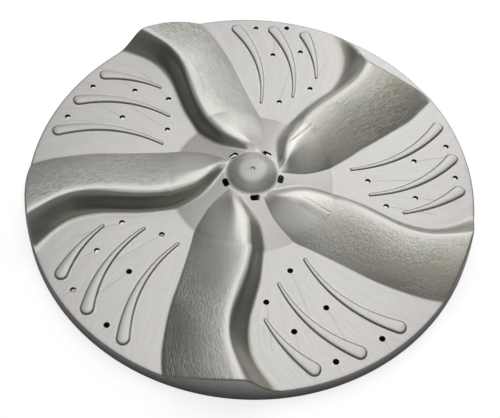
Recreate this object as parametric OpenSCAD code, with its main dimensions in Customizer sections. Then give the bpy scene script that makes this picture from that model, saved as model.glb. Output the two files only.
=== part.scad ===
// Pulsator plate of a top loading washing machine: the low agitator that turns in
// the floor of the tub. It is one moulded piece with five swept vanes, small comma
// ribs and drain holes between them, and a domed hub with a toothed shaft socket below.
// Millimetres, Z up. The origin is the centre of the rim's lower edge.

/* [Plate] */
// Radius at the rim's lower edge
rim_radius = 170; // [150:1:190]
// Height of the plate's outer edge above the rim's lower edge
edge_height = 9.8; // [8.8:0.1:14]
// Lean of the rim wall from upright, in degrees
rim_draft = 10; // [4:0.5:14]
// Thickness of the moulded wall
wall = 2.6; // [2:0.1:2.8]
// Width of the rounding between the top face and the rim wall
edge_round = 1.2; // [0.4:0.1:2]
// Radius of the low ring where the plate meets the hub cone
dish_radius = 63; // [56:1:66]
// Height of the top face at the low ring
dish_height = 3; // [2.9:0.1:4.5]
// Radius where the hub cone gets steeper
knee_radius = 36; // [32:1:42]
// Height of the top face at the steeper part's foot
knee_height = 8.7; // [8:0.1:9.4]

/* [Vanes] */
// Rise of a vane above the plate at the rim
vane_rise = 16.6; // [12:0.2:20]
// Rise of a vane above the low ring
vane_rise_inside = 13.1; // [9:0.2:15]
// Radius at which the noses of the vanes start
nose_radius = 20.8; // [20.6:0.1:21.6]
// Slope of the short vane's end face, in degrees
end_slope = 52; // [45:1:60]
// Drop of the open ledge beyond the short vane
ledge_drop = 1.2; // [0.4:0.1:2]

/* [Comma ribs] */
// Height of the comma ribs above the plate
comma_height = 1.4; // [0.8:0.1:2.4]
// Radius of a comma's round head
comma_head = 4.7; // [3.5:0.1:5.2]
// Radius of a comma's tail end
comma_tail = 1.1; // [0.8:0.1:1.6]

/* [Holes] */
// Diameter of the small drain holes
hole_diameter = 3.8; // [2.5:0.1:5]
// Length of the slots round the hub
slot_length = 6.8; // [5:0.1:8]
// Width of the slots round the hub
slot_width = 4; // [3:0.1:4.4]
// Radius of the circle that the slots lie on
slot_circle = 22; // [21.6:0.1:24]

/* [Hub] */
// Radius of the dome at its foot
dome_radius = 19; // [18:0.1:19.6]
// Height of the flat ring round the dome
ring_height = 12.7; // [12:0.1:14]
// Rise of the dome above the ring
dome_rise = 7.8; // [6:0.1:10]
// Diameter of the gate mark on the dome
gate_diameter = 2.2; // [1.6:0.1:3]
// Outer radius of the shaft socket's tube
socket_radius = 10; // [9.2:0.1:12]
// Diameter of the shaft socket at the tips of its teeth
bore_diameter = 11; // [9:0.1:11.4]
// Depth of the shaft socket
bore_depth = 16; // [12:0.5:16]
// Diameter of the plain stretch at the socket's mouth
lead_diameter = 13.4; // [13.2:0.1:14.4]
// Depth of the plain stretch at the socket's mouth
lead_depth = 5; // [3:0.5:7]
// Number of teeth in the shaft socket
teeth = 11; // [9:1:12]
// Depth of the grooves between the teeth
groove_depth = 0.9; // [0.6:0.1:0.9]
// Width of the grooves between the teeth
groove_width = 1.7; // [1.4:0.1:1.9]

/* [Underside] */
// Height of the ribs' lower edges above the rim's lower edge
rib_clearance = 0.5; // [0.3:0.1:1]
// Thickness of the ribs
rib = 2; // [1.4:0.1:2.6]
// Radius of the inner ring rib
inner_rib_radius = 72; // [69:1:77]
// Radius of the outer ring rib
outer_rib_radius = 111; // [108:1:114]

/* [Hidden] */
$fn = 64;
overlap = 0.6;
vanes = 5;
pitch = 360 / vanes;
short_vane = 4;
hub_radius = 17;
plastic = [0.72, 0.72, 0.71];

// The lines of a vane seen from above, as [share of the rim radius, angle] where the
// angle is counted from the sector on the vane's steep side.
steep_line = [
    [0.12, 104], [0.16, 120], [0.195, 128.8], [0.235, 133.7], [0.29, 135.6], [0.36, 136.5],
    [0.42, 135.2], [0.5, 133.6], [0.59, 130.7], [0.68, 128.3], [0.8, 128.2], [0.88, 129.8],
    [0.95, 133], [1, 135]];
crest_line = [
    [0.12, 89], [0.165, 103], [0.195, 112], [0.245, 120.6], [0.3, 123.2], [0.36, 124.5],
    [0.4, 125.6], [0.47, 125.1], [0.58, 122.9], [0.69, 122], [0.76, 122.5], [0.83, 124.1],
    [0.9, 126.2], [1, 129.5]];
gentle_line = [
    [0.12, 78], [0.195, 78.4], [0.235, 79.4], [0.3, 82.6], [0.376, 86.5], [0.42, 90],
    [0.5, 94.6], [0.59, 98.4], [0.7, 101.5], [0.82, 104.9], [0.92, 107.2], [1, 109]];

// The short vane spreads towards the rim.
short_steep_line = concat(
    [for (p = steep_line) if (p[0] < 0.6) p],
    [[0.65, 130], [0.71, 130.6], [0.77, 132], [0.82, 133.8], [0.88, 135.6], [0.95, 138.6], [1, 141]]);
short_gentle_line = concat(
    [for (p = gentle_line) if (p[0] < 0.4) p],
    [[0.47, 92], [0.53, 94.5], [0.59, 96], [0.7, 98.4], [0.82, 100], [0.92, 102.4], [1, 104]]);
// Foot of the short vane's end face, as [angle, share of the rim radius]
end_line = [
    [31, 0.978], [36, 0.965], [40, 0.948], [45, 0.931], [53, 0.92], [57, 0.94], [61, 0.968], [66, 0.978]];

// Rise of the crest above the plate along a vane, from its nose to the rim
rise_line = [
    [nose_radius, 0], [24.5, 0.12 * vane_rise_inside], [28, 0.28 * vane_rise_inside],
    [33, 0.46 * vane_rise_inside], [40, 0.62 * vane_rise_inside], [50, 0.78 * vane_rise_inside],
    [dish_radius, 0.95 * vane_rise_inside], [dish_radius + 4, vane_rise_inside], [rim_radius, vane_rise]];

// Radii at which the plate is drawn, from the hub to the rim
ring_steps = [
    hub_radius, nose_radius, 24.5, 28, 0.9 * knee_radius, knee_radius, 44, 53, dish_radius,
    inner_rib_radius, 84, 97, outer_rib_radius, 127, 0.85 * rim_radius, 0.92 * rim_radius,
    0.97 * rim_radius];
short_from = 13;
last_ring = len(ring_steps);

flat_steps = 7;
gentle_steps = 6;
steep_steps = 5;
period = flat_steps + gentle_steps + steep_steps;
columns = vanes * period;
gentle_bend = 102;

function mix(a, b, t) = a + (b - a) * t;
function share(r) = r / rim_radius;
function turned(k, i) = (k + i) % vanes;
function steep_angle(k, r) = lookup(share(r), k == short_vane ? short_steep_line : steep_line);
function crest_angle(r) = lookup(share(r), crest_line);
function gentle_angle(k, r) = lookup(share(r), k == short_vane ? short_gentle_line : gentle_line);

// Top face of the plate between the vanes
plate_line = [
    [dome_radius + 2, ring_height], [knee_radius, knee_height],
    [dish_radius, dish_height], [rim_radius, edge_height]];
function plate_z(r) = lookup(r, plate_line);

// A column is one of the lines that run from the hub to the rim: first across the flat
// sector, then up the next vane's gentle side, then down its steep side.
function sector_of(c) = floor(c / period);
function step_of(c) = c % period;
function column_angle(c, r, shift) =
    let (
        k = sector_of(c),
        j = step_of(c),
        n = turned(k, 1),
        from = steep_angle(k, r) - shift,
        foot = pitch + gentle_angle(n, r) + 0.3 * shift,
        crest = pitch + crest_angle(r) - shift,
        end = pitch + steep_angle(n, r) - shift)
    pitch * k + (j < flat_steps ? mix(from, foot, j / flat_steps)
        : j < flat_steps + gentle_steps ? mix(foot, crest, (j - flat_steps) / gentle_steps)
        : mix(crest, end, (j - flat_steps - gentle_steps) / steep_steps));

// Share of the crest's rise that a column has
function column_rise(c) =
    let (j = step_of(c), up = j - flat_steps, down = j - flat_steps - gentle_steps)
    up < 0 ? 0
        : down < 0 ? sin(gentle_bend * up / gentle_steps)
        : sin(gentle_bend) * (1 + cos(180 * down / steep_steps)) / 2;
function on_short_vane(c) = turned(sector_of(c), 1) == short_vane && step_of(c) >= flat_steps;
function full_rise(c, r) = column_rise(c) * lookup(r, rise_line);
function end_radius(angle) = rim_radius * lookup((angle + 360) % 360, end_line);
function end_rise(r, angle) = max(0, end_radius(angle) - r) * tan(end_slope);
function rise(c, r, angle) = on_short_vane(c) ? min(full_rise(c, r), end_rise(r, angle)) : full_rise(c, r);
function ledge(c, r, angle) = on_short_vane(c) && r > end_radius(angle) - 0.1 ? ledge_drop : 0;

// The rings bend round the short vane's end: one follows its upper edge, one its foot.
function ring_radius(i, c) =
    !on_short_vane(c) || i <= short_from ? ring_steps[i]
        : let (
            angle = column_angle(c, 0.93 * rim_radius, 0) % 360,
            foot = end_radius(angle),
            top = foot - max(1.6, full_rise(c, 0.88 * rim_radius) / tan(end_slope)),
            left = last_ring - 1 - i)
        left == 0 ? mix(foot, rim_radius, 0.4) : left == 1 ? foot : top;
function at(r, angle, z) = [r * cos(angle), r * sin(angle), z];
function face_point(c, r, under) =
    let (
        shift = under ? 0.65 * wall / r * 180 / PI : 0,
        angle = column_angle(c, r, shift),
        round = angle % 360)
    at(r, angle, plate_z(r) + rise(c, r, round) - ledge(c, r, round) - (under ? wall : 0));

// Where the top face meets the leaning rim wall
function edge_radius(c) = rim_radius - face_point(c, rim_radius, false)[2] * tan(rim_draft);
function web(c, r) = [
    face_point(c, r + rib / 2, true),
    at(r + rib / 2, column_angle(c, r, 0), rib_clearance),
    at(r - rib / 2, column_angle(c, r, 0), rib_clearance),
    face_point(c, r - rib / 2, true)];
function lower_ring(i, c) =
    ring_steps[i] == inner_rib_radius || ring_steps[i] == outer_rib_radius
        ? web(c, ring_radius(i, c)) : [face_point(c, ring_radius(i, c), true)];

// One closed section of the plate, from the hub out over the top and back below
function section(c) = concat(
    [for (i = [0 : last_ring - 1]) face_point(c, ring_radius(i, c), false)],
    [face_point(c, edge_radius(c) - edge_round, false)],
    [face_point(c, edge_radius(c), false) - [0, 0, 1] * edge_round],
    [at(rim_radius, column_angle(c, rim_radius, 0), 0)],
    [at(rim_radius - wall, column_angle(c, rim_radius, 0), 0)],
    [face_point(c, edge_radius(c) - wall, true)],
    [for (i = [last_ring - 1 : -1 : 0]) each lower_ring(i, c)]);

module shell() {
    sections = [for (c = [0 : columns - 1]) section(c)];
    size = len(sections[0]);
    points = [for (s = sections) each s];
    function id(c, i) = (c % columns) * size + i % size;
    polyhedron(points, [for (c = [0 : columns - 1], i = [0 : size - 1]) each [
        [id(c, i), id(c + 1, i + 1), id(c, i + 1)],
        [id(c, i), id(c + 1, i), id(c + 1, i + 1)]]], convexity = 10);
}

// A comma rib has its head near the rim and a tail that bends in towards the hub.
// Head and tail are [radius, angle] seen from the hub, and bow is how far the line
// between them swings out to its left.
comma_steps = 6;
function comma_middle(head, tail, bow, t) =
    let (
        a = at(head[0], head[1], 0),
        b = at(tail[0], tail[1], 0),
        left = [a[1] - b[1], b[0] - a[0], 0] / norm(a - b))
    mix(a, b, t) + left * bow * 4 * t * (1 - t);
function comma_heading(head, tail, bow, t) =
    let (d = comma_middle(head, tail, bow, t + 0.01) - comma_middle(head, tail, bow, t))
    atan2(d[1], d[0]);
function comma_half(t) = comma_tail + (comma_head - comma_tail) * pow(1 - t, 1.35);
function comma_side(head, tail, bow, t, turn) =
    let (p = comma_middle(head, tail, bow, t), angle = comma_heading(head, tail, bow, t) + turn)
    [p[0] + comma_half(t) * cos(angle), p[1] + comma_half(t) * sin(angle)];
function comma_outline(head, tail, bow) = concat(
    [for (a = [90 : 22.5 : 270]) comma_side(head, tail, bow, 0, a)],
    [for (i = [1 : comma_steps - 1]) comma_side(head, tail, bow, i / comma_steps, -90)],
    [for (a = [-90 : 36 : 90]) comma_side(head, tail, bow, 1, a)],
    [for (i = [comma_steps - 1 : -1 : 1]) comma_side(head, tail, bow, i / comma_steps, 90)]);
module comma(head, tail, bow) {
    middle = (head[1] + tail[1]) / 2;
    tilt = atan((edge_height - dish_height) / (rim_radius - dish_radius));
    rotate([0, 0, middle])
        translate([head[0], 0, plate_z(head[0])])
            rotate([0, -tilt, 0])
                translate([-head[0], 0, -overlap])
                    rotate([0, 0, -middle])
                        linear_extrude(comma_height + overlap)
                            polygon(comma_outline(head, tail, bow));
}

// Where the ribs and holes of each sector lie: the first three are alike, and the two
// beside the short vane are spread away from it.
rib_turns = [[0, 0, 0], [0, 0, 0], [0, 0, 0], [-0.7, -1.7, -2.4], [4.2, 2.3, 1.7]];
module commas(k) {
    turn = rib_turns[k];
    comma([157.2, 143.5 + turn[0]], [117.3, 133.1 + turn[0]], 2.7);
    comma([157.2, 155.6 + turn[1]], [90.8, 140.6 + turn[1]], 7.1);
    comma([157.2, 167.9 + turn[2]], [78.4, 157.6 + turn[2]], 8.4);
}
hole_places = [
    [156.4, 149.2], [128.2, 141.4], [103.5, 134.1], [156.4, 162.4], [118.5, 154.1], [82.3, 147.9]];
right_hole_places = [
    [156, 147.4], [124.5, 139.3], [103.4, 133.9], [156.4, 158.4], [127.8, 154.9], [89.1, 146.9]];
top_hole_places = [
    [161.5, 153.9], [138, 147.2], [104, 137], [157.8, 163.5], [129.3, 156.8], [81.4, 148.7]];
places = [hole_places, hole_places, hole_places, right_hole_places, top_hole_places];
module holes() {
    for (k = [0 : vanes - 1])
        for (p = places[k])
            rotate([0, 0, p[1] + k * pitch])
                translate([p[0], 0, -1])
                    cylinder(d = hole_diameter, h = edge_height + vane_rise, $fn = 24);
}

module slots() {
    for (k = [0 : vanes - 1])
        rotate([0, 0, 134 + k * pitch])
            translate([slot_circle, 0, 1])
                linear_extrude(ring_height + 2) {
                    square([slot_width, slot_length - slot_width], center = true);
                    for (side = [-1, 1])
                        translate([0, side * (slot_length - slot_width) / 2])
                            circle(d = slot_width, $fn = 24);
                }
}

// The dome is a shell over the socket's tube.
function dome_z(share) = dome_rise * pow(1 - pow(share, 2.3), 0.72);
dome_foot = ring_height - overlap;
dome_steps = 8;
module hub() {
    outer = [for (i = [0 : dome_steps])
        let (s = i / dome_steps)
            [(dome_radius + 0.3) * s, dome_foot + dome_z(s) * (1 + overlap / dome_rise)]];
    inner = [for (i = [dome_steps : -1 : 0])
        let (s = i / dome_steps) if (s * (dome_radius - wall) > socket_radius - 0.5)
            [(dome_radius - wall) * s, dome_foot - wall + dome_z(s)]];
    skirt_z = ring_height - wall - overlap;
    rotate_extrude($fn = 96)
        polygon(concat(
            outer,
            [[dome_radius + 0.3, skirt_z], [dome_radius - wall, skirt_z]],
            inner,
            [[socket_radius, dome_foot - wall + dome_rise * 0.4]],
            [[socket_radius, rib_clearance], [0, rib_clearance]]));
}

// Radial ribs below the flat sectors tie the socket's tube to the rim.
module radial_ribs() {
    reach = rim_radius - wall - 3;
    for (k = [0 : vanes - 1])
        rotate([0, 0, 144 + k * pitch])
            translate([0, rib / 2, 0])
                rotate([90, 0, 0])
                    linear_extrude(rib)
                        polygon([
                            [socket_radius - 0.8, rib_clearance], [reach, rib_clearance],
                            [reach, plate_z(reach) - wall / 2], [dish_radius, dish_height - wall / 2],
                            [knee_radius, knee_height - wall / 2], [dome_radius + 2, ring_height - wall / 2],
                            [socket_radius - 0.8, ring_height - wall / 2]]);
}

// The socket has a plain mouth and a toothed stretch above it.
module socket() {
    translate([0, 0, -1]) cylinder(d = bore_diameter, h = bore_depth + 1 + rib_clearance);
    translate([0, 0, -1]) cylinder(d = lead_diameter, h = lead_depth + 1 + rib_clearance);
    for (i = [0 : teeth - 1])
        rotate([0, 0, i * 360 / teeth])
            translate([0, 0, lead_depth + rib_clearance - 1])
                linear_extrude(bore_depth - lead_depth)
                    polygon([
                        [bore_diameter / 2 - 1, -groove_width / 2],
                        [bore_diameter / 2 + groove_depth, -groove_width / 4],
                        [bore_diameter / 2 + groove_depth, groove_width / 4],
                        [bore_diameter / 2 - 1, groove_width / 2]]);
}

module pulsator_plate() {
    color(plastic)
        difference() {
            union() {
                shell();
                hub();
                radial_ribs();
                for (k = [0 : vanes - 1]) rotate([0, 0, k * pitch]) commas(k);
            }
            holes();
            slots();
            socket();
            translate([0, 0, ring_height + dome_rise - 0.9]) cylinder(d = gate_diameter, h = 2, $fn = 24);
        }
}

pulsator_plate();
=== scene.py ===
"""Looks of the pulsator plate of a top loading washing machine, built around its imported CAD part."""

import math

import bpy
import numpy as np
from bpy.props import FloatProperty, FloatVectorProperty, IntProperty, PointerProperty
from mathutils import Matrix


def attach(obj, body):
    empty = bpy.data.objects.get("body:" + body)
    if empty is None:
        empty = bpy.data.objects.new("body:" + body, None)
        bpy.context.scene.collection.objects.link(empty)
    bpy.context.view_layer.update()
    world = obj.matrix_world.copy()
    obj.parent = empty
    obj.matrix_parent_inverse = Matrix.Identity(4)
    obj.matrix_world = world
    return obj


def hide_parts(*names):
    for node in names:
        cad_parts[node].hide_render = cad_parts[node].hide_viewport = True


bl_info = {
    "name": "Pulsator plate",
    "version": (1, 0, 0),
    "blender": (4, 5, 0),
    "location": "View3D > Sidebar > Pulsator",
    "description": "Builds the moulded plate, its comma ribs and the studio around it",
    "category": "Object",
}

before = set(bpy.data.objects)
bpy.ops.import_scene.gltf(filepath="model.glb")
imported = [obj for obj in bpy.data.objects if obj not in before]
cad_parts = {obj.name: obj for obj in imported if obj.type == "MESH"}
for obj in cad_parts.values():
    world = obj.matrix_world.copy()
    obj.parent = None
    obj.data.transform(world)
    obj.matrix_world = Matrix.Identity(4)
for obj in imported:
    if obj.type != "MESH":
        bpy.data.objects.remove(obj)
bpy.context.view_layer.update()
NODE = "pulsator_plate"
MM = 0.001
VANES = 5
PITCH = 360.0 / VANES
SHORT_VANE = 4

# The lines of a vane seen from above, as [share of the rim radius, angle], where the angle
# is counted from the sector on the vane's steep side.
STEEP_LINE = [
    (0.12, 109), (0.16, 124.8), (0.195, 132.6), (0.235, 137), (0.29, 138.6), (0.36, 138),
    (0.42, 136), (0.5, 133.9), (0.59, 131), (0.68, 128.9), (0.8, 129), (0.88, 130.9),
    (0.95, 133.9), (1, 136.2)]
CREST_LINE = [
    (0.12, 89), (0.165, 103), (0.195, 112), (0.245, 120.6), (0.3, 123.2), (0.36, 124.4),
    (0.4, 125.4), (0.47, 124.7), (0.58, 122.5), (0.69, 121.3), (0.76, 121.5), (0.83, 122.7),
    (0.9, 124.7), (1, 127.4)]
GENTLE_LINE = [
    (0.12, 78), (0.195, 78.4), (0.235, 79.4), (0.3, 82.8), (0.376, 87), (0.42, 90.6),
    (0.5, 95), (0.59, 98.3), (0.7, 101), (0.82, 104), (0.92, 106.5), (1, 109)]
SHORT_STEEP_LINE = STEEP_LINE[:9] + [
    (0.65, 129.3), (0.71, 129.5), (0.77, 130.6), (0.82, 132.2), (0.88, 134.6), (0.95, 138.8), (1, 142.4)]
SHORT_GENTLE_LINE = GENTLE_LINE[:5] + [
    (0.47, 91.2), (0.53, 93.6), (0.59, 95), (0.7, 97.2), (0.82, 99), (0.92, 101.4), (1, 103)]
# Foot of the short vane's end face, as (angle, share of the rim radius)
END_LINE = [
    (31, 0.978), (36, 0.965), (40, 0.948), (45, 0.931), (53, 0.92), (57, 0.94), (61, 0.968),
    (66, 0.978)]


# Share of a vane's full rise across its gentle side, from foot to crest, and across its steep
# side, from crest to foot
HUB_GENTLE_RISE = [
    (0, 0), (0.2, 0.265), (0.4, 0.525), (0.6, 0.785), (0.7, 0.91), (0.77, 0.975), (0.83, 0.995),
    (0.92, 1), (1, 0.995)]
GENTLE_RISE = [
    (0, 0), (0.2, 0.27), (0.4, 0.52), (0.6, 0.745), (0.75, 0.885), (0.85, 0.956), (0.9, 0.983),
    (0.94, 0.997), (0.97, 1), (1, 0.993)]
OUTER_GENTLE_RISE = [
    (0, 0), (0.15, 0.245), (0.3, 0.455), (0.45, 0.635), (0.6, 0.78), (0.75, 0.893), (0.85, 0.954),
    (0.9, 0.98), (0.94, 0.995), (0.97, 0.999), (1, 0.992)]
STEEP_FALL = [
    (0, 1), (0.1, 0.974), (0.2, 0.932), (0.3, 0.862), (0.4, 0.742), (0.5, 0.556), (0.6, 0.345),
    (0.7, 0.17), (0.8, 0.07), (0.9, 0.018), (1, 0)]
OUTER_STEEP_FALL = [
    (0, 1), (0.05, 0.986), (0.1, 0.953), (0.2, 0.845), (0.3, 0.7), (0.4, 0.54), (0.5, 0.385),
    (0.6, 0.245), (0.7, 0.135), (0.8, 0.06), (0.9, 0.017), (1, 0)]
# A comma rib's head centre, tail centre and bow: [[radius, angle], [radius, angle], bow], where
# the angle is counted as above
SHORT_RIB = ((157.2, 143.5), (117.3, 133.1), 2.7)
MIDDLE_RIB = ((157.2, 155.6), (90.8, 140.6), 7.1)
LONG_RIB = ((157.2, 167.9), (78.4, 157.6), 8.4)
# How far the three ribs of each sector are turned about the centre, in degrees
RIB_TURNS = [(0, 0, 0), (0, 0, 0), (0, 0, 0), (-0.7, -1.7, -2.4), (4.2, 2.3, 1.7)]
# Drain holes of each sector as (radius, angle)
COMMON_HOLES = [(156.4, 149.2), (128.2, 141.4), (103.5, 134.1), (156.4, 162.4), (118.5, 154.1),
                (82.3, 147.9)]
HOLES = [COMMON_HOLES] * 3 + [
    [(156, 147.4), (124.5, 139.3), (103.4, 133.9), (156.4, 158.4), (127.8, 154.9), (89.1, 146.9)],
    [(161.5, 153.9), (138, 147.2), (104, 137), (157.8, 163.5), (129.3, 156.8), (81.4, 148.7)]]


# Fold marks of two vanes, as (angle, height in millimetres)
FOLDS = [(330.7, 0.32), (47.3, 0.28)]


# ---------------------------------------------------------------- sizes and colours


class PulsatorPlateSizes(bpy.types.PropertyGroup):
    rim_radius: FloatProperty(
        name="Rim radius", description="Radius at the rim's lower edge, in millimetres", default=169.85)
    edge_height: FloatProperty(
        name="Edge height", description="Height of the plate's outer edge, in millimetres", default=9.8)
    rim_draft: FloatProperty(
        name="Rim draft", description="Lean of the rim wall from upright, in degrees", default=10.0)
    rim_bulge: FloatProperty(
        name="Rim bulge", description="Bulge of the rim wall below a vane's end, in millimetres",
        default=0.5)
    wall: FloatProperty(name="Wall", description="Thickness of the moulded wall, in millimetres", default=2.6)
    edge_round: FloatProperty(
        name="Edge rounding", description="Radius between the top face and the rim wall, in millimetres",
        default=1.3)
    dish_radius: FloatProperty(
        name="Dish radius", description="Radius of the low ring of the plate, in millimetres", default=63.0)
    dish_height: FloatProperty(
        name="Dish height", description="Height of the top face at the low ring, in millimetres", default=3.0)
    knee_radius: FloatProperty(
        name="Knee radius", description="Radius where the hub cone gets steeper, in millimetres",
        default=36.0)
    knee_height: FloatProperty(
        name="Knee height", description="Height of the top face at the knee, in millimetres", default=9.1)
    crease_fill: FloatProperty(
        name="Crease fill", description="How far a vane's sides fill the crease of the low ring, in millimetres",
        default=0.65)
    vane_rise: FloatProperty(
        name="Vane rise", description="Rise of a vane above the plate at the rim, in millimetres",
        default=16.6)
    vane_rise_inside: FloatProperty(
        name="Vane rise inside", description="Rise of a vane above the low ring, in millimetres",
        default=13.1)
    end_slope: FloatProperty(
        name="End slope", description="Slope of the short vane's end face, in degrees", default=52.0)
    ledge_drop: FloatProperty(
        name="Ledge drop", description="Drop of the ledge beyond the short vane, in millimetres",
        default=1.2)


class PulsatorHubSizes(bpy.types.PropertyGroup):
    dome_radius: FloatProperty(
        name="Dome radius", description="Radius of the dome at its foot, in millimetres", default=19.0)
    ring_height: FloatProperty(
        name="Ring height", description="Height of the ring round the dome, in millimetres", default=12.7)
    dome_rise: FloatProperty(
        name="Dome rise", description="Rise of the dome above the ring, in millimetres", default=6.5)
    gate_radius: FloatProperty(
        name="Gate radius", description="Radius of the gate mark on the dome, in millimetres", default=1.45)
    socket_radius: FloatProperty(
        name="Socket radius", description="Outer radius of the socket's tube, in millimetres", default=10.0)
    bore_radius: FloatProperty(
        name="Bore radius", description="Radius at the tips of the socket's teeth, in millimetres",
        default=5.5)
    bore_depth: FloatProperty(
        name="Bore depth", description="Depth of the socket, in millimetres", default=16.0)
    lead_radius: FloatProperty(
        name="Mouth radius", description="Radius of the socket's plain mouth, in millimetres", default=6.7)
    lead_depth: FloatProperty(
        name="Mouth depth", description="Depth of the socket's plain mouth, in millimetres", default=5.0)
    teeth: IntProperty(name="Teeth", description="Number of teeth in the socket", default=11)
    groove_depth: FloatProperty(
        name="Groove depth", description="Depth of the grooves between the teeth, in millimetres",
        default=0.9)
    rib_clearance: FloatProperty(
        name="Rib clearance", description="Height of the ribs and the tube above the floor, in millimetres",
        default=0.5)


class PulsatorRibSizes(bpy.types.PropertyGroup):
    height: FloatProperty(
        name="Height", description="Height of the comma ribs above the plate, in millimetres", default=1.4)
    head_radius: FloatProperty(
        name="Head radius", description="Half of a comma rib's width at its head, in millimetres",
        default=4.7)
    tail_radius: FloatProperty(
        name="Tail radius", description="Half of a comma rib's width at its tail, in millimetres",
        default=1.1)
    rounding: FloatProperty(
        name="Rounding", description="Width of the rounded edge at a comma rib's head, in millimetres",
        default=1.7)
    groove_width: FloatProperty(
        name="Groove width", description="Width of the groove round a comma rib, in millimetres",
        default=0.42)
    groove_depth: FloatProperty(
        name="Groove depth", description="Depth of the groove round a comma rib, in millimetres",
        default=0.45)
    weld_width: FloatProperty(
        name="Weld line width", description="Width of the hair lines behind the drain holes, in millimetres",
        default=0.45)
    hole_radius: FloatProperty(
        name="Hole radius", description="Radius of the drain holes, in millimetres", default=1.9)
    slot_radius: FloatProperty(
        name="Slot circle", description="Radius of the circle of slots round the dome, in millimetres",
        default=22.0)
    slot_angle: FloatProperty(
        name="Slot angle", description="Angle of the first slot, in degrees", default=134.0)
    slot_length: FloatProperty(
        name="Slot length", description="Length of a slot along its circle, in millimetres", default=6.8)
    slot_width: FloatProperty(
        name="Slot width", description="Width of a slot, in millimetres", default=4.0)
    under_rib: FloatProperty(
        name="Under rib", description="Thickness of the ribs on the underside, in millimetres",
        default=2.0)
    inner_ring: FloatProperty(
        name="Inner ring", description="Radius of the inner ring rib on the underside, in millimetres",
        default=72.0)
    outer_ring: FloatProperty(
        name="Outer ring", description="Radius of the outer ring rib on the underside, in millimetres",
        default=111.0)
    spoke_angle: FloatProperty(
        name="Spoke angle", description="Angle of the first spoke rib on the underside, in degrees",
        default=144.0)


class PulsatorFinish(bpy.types.PropertyGroup):
    pink_silver: FloatVectorProperty(
        name="Pink silver", description="Colour of the coat where it leans to pink", subtype="COLOR",
        size=3, default=(0.585, 0.56, 0.55))
    green_silver: FloatVectorProperty(
        name="Green silver", description="Colour of the coat where it leans to green", subtype="COLOR",
        size=3, default=(0.557, 0.56, 0.54))
    # Painted shade: a darker, olive coat on the steep sides stands in for their shading and dark reflections.
    flank_shade_silver: FloatVectorProperty(
        name="Olive silver", description="Colour of the coat on the steep sides", subtype="COLOR",
        size=3, default=(0.5, 0.5, 0.435))
    grained_silver: FloatVectorProperty(
        name="Grained silver", description="Colour of the coat on the gentle sides", subtype="COLOR",
        size=3, default=(0.57, 0.565, 0.525))
    # Painted reflection tint: an olive, darker coat on the gentle sides of the right half.
    right_half_reflection_silver: FloatVectorProperty(
        name="Tinted silver", description="Colour of the coat on the gentle sides of one half",
        subtype="COLOR", size=3, default=(0.512, 0.55, 0.43))
    blush_silver: FloatVectorProperty(
        name="Blush silver", description="Pinkish blotches on the tinted gentle sides",
        subtype="COLOR", size=3, default=(0.625, 0.545, 0.472))
    # Painted shade: a darker coat at the foot of the right half's gentle sides.
    foot_shade_silver: FloatVectorProperty(
        name="Foot shade silver", description="Darker colour at the foot of the tinted gentle sides",
        subtype="COLOR", size=3, default=(0.47, 0.452, 0.37))
    # Painted highlight: a paler coat along the crests.
    crest_highlight_silver: FloatVectorProperty(
        name="Crest silver", description="Colour of the coat on the crests", subtype="COLOR", size=3,
        default=(0.61, 0.6, 0.56))
    metallic: FloatProperty(
        name="Metallic", description="Share of metal flake in the coat", default=0.88)
    roughness: FloatProperty(name="Roughness", description="Roughness of the coat", default=0.38)
    grain_roughness: FloatProperty(
        name="Grain roughness", description="Extra roughness on the grained gentle sides", default=0.03)
    flank_roughness: FloatProperty(
        name="Flank roughness", description="Extra roughness on the steep sides", default=-0.08)
    grain_depth: FloatProperty(
        name="Grain depth", description="Depth of the leathery grain, in millimetres", default=0.15)


class PulsatorStudio(bpy.types.PropertyGroup):
    floor_colour: FloatVectorProperty(
        name="Floor colour", description="Colour of the floor", subtype="COLOR", size=3,
        default=(0.65, 0.65, 0.65))
    floor_size: FloatProperty(name="Floor size", description="Side of the floor, in metres", default=60.0)
    floor_glow: FloatProperty(
        name="Floor glow", description="Share of white that the floor shows even in shadow", default=0.72)
    surroundings: FloatVectorProperty(
        name="Surroundings", description="Colour of the dim surroundings", subtype="COLOR", size=3,
        default=(0.035, 0.035, 0.031))
    overhead: FloatVectorProperty(
        name="Overhead", description="Colour of the soft light from overhead", subtype="COLOR", size=3,
        default=(0.1, 0.1, 0.098))


# ---------------------------------------------------------------- curves and the plate's form


def smooth_curve(knots, x):
    """Value at x of a smooth curve through (x, value) knots.

    Between two knots it is the cubic that has their values and, as slopes, the mean slope
    of the stretches on either side. Outside the knots it keeps the end value.
    """
    kx = np.array([k[0] for k in knots], float)
    ky = np.array([k[1] for k in knots], float)
    chord = np.diff(ky) / np.diff(kx)
    slope = np.concatenate([chord[:1], (chord[1:] + chord[:-1]) / 2, chord[-1:]])
    x = np.clip(x, kx[0], kx[-1])
    i = np.clip(np.searchsorted(kx, x, side="right") - 1, 0, len(kx) - 2)
    h = kx[i + 1] - kx[i]
    t = (x - kx[i]) / h
    return (ky[i] * (1 + 2 * t) * (1 - t) ** 2 + ky[i + 1] * (3 - 2 * t) * t * t
            + h * slope[i] * t * (1 - t) ** 2 - h * slope[i + 1] * (1 - t) * t * t)


def soft_min(a, b, width):
    """The lower of a and b, with the corner between them rounded over width."""
    h = np.clip(0.5 + 0.5 * (b - a) / width, 0, 1)
    return b * (1 - h) + a * h - width * h * (1 - h)


def ease(x, low, high):
    """Smooth step from 0 at low to 1 at high."""
    t = np.clip((x - low) / (high - low), 0, 1)
    return t * t * (3 - 2 * t)


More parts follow.
